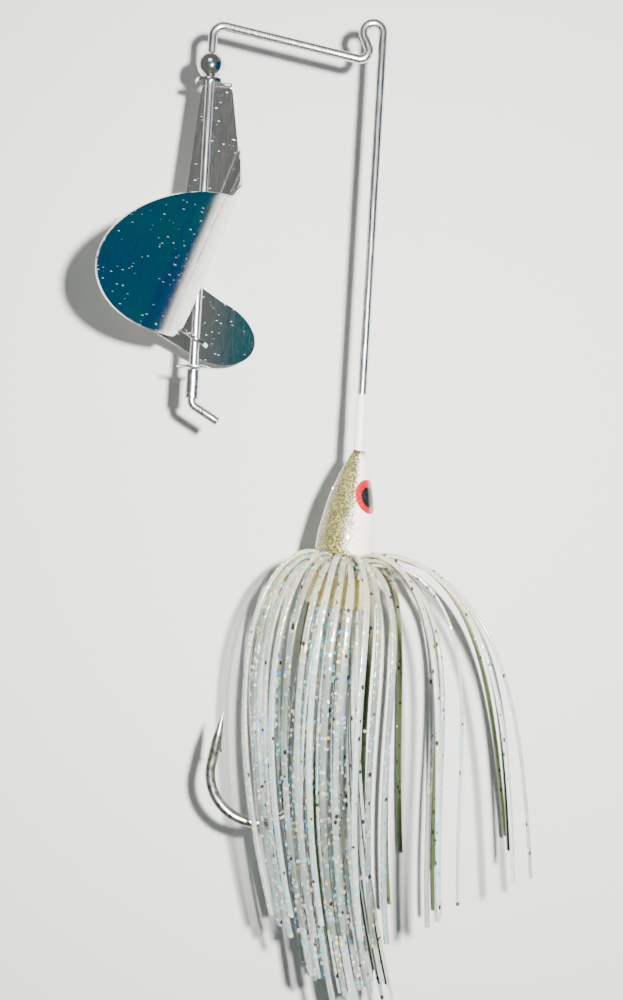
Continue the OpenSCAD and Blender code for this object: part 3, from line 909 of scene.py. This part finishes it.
def make_blade(material):
    slot_top = EAR_TOP - SLOT_HEAD
    slot_low = EAR_LOW + SLOT_FOOT
    slot_profile = [(0, slot_low), (SLOT_R, slot_low), (SLOT_R, slot_top), (0, slot_top)]
    shaft_line = Matrix.Translation((SHAFT_X, 0, 0))
    cutter = mesh_from(lambda shape: lathe(shape, slot_profile, shaft_line, 48))
    builds = (lambda shape: add_wing(shape, False), add_panel,
              lambda shape: add_ear(shape, EAR_TOP - SHEET_T / 2, 0, upper_reach),
              lambda shape: add_ear(shape, EAR_LOW, LOW_EAR_TILT, lower_reach))
    sheets = [finish_sheet(mesh_from(build), SHEET_T, 0.05) for build in builds]
    front = mesh_from(lambda shape: add_wing(shape, True))
    sheets.append(finish_sheet(front, SHEET_T, 0.03, cutter))
    add_object("blade_sheet", joined(sheets, 40), material, "blade", "blade_metal", "blade")


# ---------- skirt ----------
def make_band(material):
    inner = COLLAR_R + COLLAR_GAP + 3 * RING_STEP - 0.02
    outer = inner + BAND_T
    top = -BAND_TOP
    low = top - BAND_LEN
    profile = [(inner, top), (outer - 0.25, top), (outer - 0.06, top - 0.1), (outer, top - 0.35)]
    for k in range(1, 12):
        groove = 0.05 * (1 - math.cos(2 * math.pi * k * 3 / 12))
        profile.append((outer - groove, top - 0.35 - (BAND_LEN - 0.7) * k / 12))
    profile += [(outer, low + 0.35), (outer - 0.06, low + 0.1), (outer - 0.25, low), (inner, low),
                (inner, top)]
    mesh = mesh_from(lambda shape: lathe(shape, profile, HEAD_FRAME, 72))
    add_object("band", mesh, material, "frame", "band_rubber", "skirt_band")


def share(k):
    return (k * GOLDEN) % 1


def strand_phi(k):
    return -180 + SLOT_HALF + (360 - 2 * SLOT_HALF) * (k + 0.5) / STRAND_COUNT


def spread(k):
    ring = k % 3
    opening = max(0, cosd(strand_phi(k))) ** 2 * (3 - ring) / 3
    return (TURN_LEN + TURN_STEP * (2 - ring)
            + TURN_OPEN * opening * (OPEN_SHARE + (1 - OPEN_SHARE) * share(k)))


def front_heading(s, lam):
    lie = LIE_ANGLE + LIE_RATE * lam
    inward = HANG_ANGLE + HANG_RATE * lam
    return (90 - lie * (1 - math.exp(-s / LIE_LEN))
            - (180 + inward - lie) * (1 - math.exp(-s / lam)))


def rear_heading(s, ring):
    return -90 + (REAR_OPEN + REAR_OPEN_STEP * ring) * math.exp(-s / REAR_LEN)


def leg(start, length, heading, steps=54):
    """Points along a leg whose heading depends on the distance from the band."""
    r, z = start
    points = [start]
    d = length / steps
    for i in range(steps):
        h = heading((i + 0.5) * d)
        r += d * cosd(h)
        z += d * sind(h)
        points.append((r, z))
    return points


def lean(z):
    return LEAN_REACH * (max(0, -z - LEAN_START) / LEAN_DEPTH) ** 2


def strand_path(k):
    ring = k % 3
    phi = strand_phi(k)
    r = COLLAR_R + COLLAR_GAP + STRAND_T / 2 + ring * RING_STEP
    rear = leg((r, -BAND_LEN), REAR_LEG, lambda s: rear_heading(s, ring))
    start = (r, LEAVE_RISE + LEAVE_STEP * (2 - ring))
    front = leg(start, FRONT_LEG, lambda s: front_heading(s, spread(k)))
    line = rear[::-1] + front
    place = HEAD_FRAME @ Matrix.Translation((0, 0, -BAND_TOP))
    side = HEAD_FRAME.to_3x3() @ Vector((-sind(phi), cosd(phi), 0))
    trim = [round(LONGEST_TRIM * share(5 * k + end)) for end in (1, 2)]
    line = line[trim[0]:len(line) - trim[1]]
    path = []
    for r, z in line:
        at = place @ Vector((r * cosd(phi) + lean(z), r * sind(phi), z))
        path.append((at, side, 1.0, share(7 * k + 3)))
    return path


STRAND_GROUPS = (("strands_left_front", 0, 3, "clear"), ("strands_front_left", 4, 7, "clear"),
                 ("strands_front_right", 8, 11, "clear"), ("strands_right_front", 12, 14, "white"),
                 ("strands_right", 15, 18, "white"), ("strands_right_back", 19, 22, "green"),
                 ("strands_back_right", 23, 26, "green"), ("strands_back", 27, 30, "green"),
                 ("strands_back_left", 31, 35, "clear"))


def make_skirt(tree, finishes):
    for node, first, last, kind in STRAND_GROUPS:
        paths = [strand_path(k) for k in range(first, last + 1)]
        mesh = swept(tree, paths, STRAND_W, STRAND_T, 0.12, 2, finishes[kind])
        add_object(node + "_legs", mesh, finishes[kind], "frame", "strand_" + kind, node)


# ---------- stage ----------
def wall_finish():
    """A pale, dull surface that shows from its front side only."""
    f = Finish("surface", (0.70, 0.71, 0.69), Roughness=0.9)
    facing = f.tree.nodes.new("ShaderNodeNewGeometry").outputs["Backfacing"]
    f.put(f.shader.inputs["Alpha"], f.math("SUBTRACT", 1.0, facing))
    return f.material


def card_finish():
    """A dim blue and teal surface off to the right, for the bright sheet to reflect."""
    f = Finish("blue card", (0, 0, 0), Roughness=1.0, Specular_IOR_Level=0.0)
    hue = f.ramp(f.noise(22, 2), (0.35, (0.0, 0.05, 0.20)), (0.65, (0.0, 0.13, 0.15)))
    f.put(f.shader.inputs["Emission Color"], hue)
    f.put(f.shader.inputs["Emission Strength"], 0.9)
    return f.material


def add_sheet(name, corners, material):
    mesh = bpy.data.meshes.new(name)
    mesh.from_pydata([Vector(c) * MM for c in corners], [], [(0, 1, 2, 3)])
    mesh.materials.append(material)
    stage_piece = held(name, mesh)
    return stage_piece


def area_light(name, place, aim, size, power, color=(1, 1, 1)):
    light = bpy.data.lights.new(name, "AREA")
    light.size = size * MM
    light.energy = power
    light.color = color
    holder = held(name, light)
    holder.location = Vector(place) * MM
    holder.rotation_euler = (Vector(aim) - Vector(place)).to_track_quat("-Z", "Y").to_euler()


def make_stage():
    wall = cad_box[1][1] / MM + 2.0
    add_sheet("surface", [(-320, wall, -420), (320, wall, -420), (320, wall, 260),
                          (-320, wall, 260)], wall_finish())
    area_light("key", (24, -205, -50), (-8, 10, -68), 8, 2.2, (1, 0.98, 0.95))
    area_light("window", (-60, -330, 190), (-5, 0, -60), 160, 0.22, (0.95, 0.98, 1))
    area_light("back_fill", (60, 420, 140), (-5, 0, -70), 320, 0.6)
    card = add_sheet("blue_card", [(240, -260, -180), (240, 14, -180), (240, 14, 120),
                                   (240, -260, 120)], card_finish())
    card.visible_camera = False
    world = bpy.data.worlds.new("world")
    world.use_nodes = True
    sky = world.node_tree.nodes["Background"].inputs
    sky["Color"].default_value = (0.80, 0.84, 0.82, 1)
    sky["Strength"].default_value = 0.20
    bpy.context.scene.world = world


make_camera()
make_stage()
sweep = sweep_tree()
make_wire(sweep, wire_finish())
make_hook(sweep, hook_finish())
make_head(head_finish())
make_eyes(eye_finish("iris red", (0.30, 0.0, 0.004), (0.62, 0.006, 0.012)),
          eye_finish("pupil black", (0.004, 0.004, 0.004), (0.02, 0.02, 0.02)))
make_bead(bright_finish("bead chrome", (0.86, 0.86, 0.84), 0.05, 0.14))
make_rivet(bright_finish("rivet metal", (0.84, 0.84, 0.81), 0.16, 0.30))
make_blade(blade_finish())
make_band(band_finish())
make_skirt(sweep, {
    "clear": strand_finish("clear strands", (0.17, 0.19, 0.14), (0.64, 0.74, 0.74),
                           flake_share=0.55, spot_share=0.16, clear=0.62),
    "white": strand_finish("white strands", (0.42, 0.46, 0.43), (0.76, 0.81, 0.78),
                           flake_share=0.10, spot_share=0.26, clear=0.50),
    "green": strand_finish("green strands", (0.015, 0.03, 0.01), (0.13, 0.19, 0.07),
                           flake_share=0.02, spot_share=0.60, clear=0.15)})
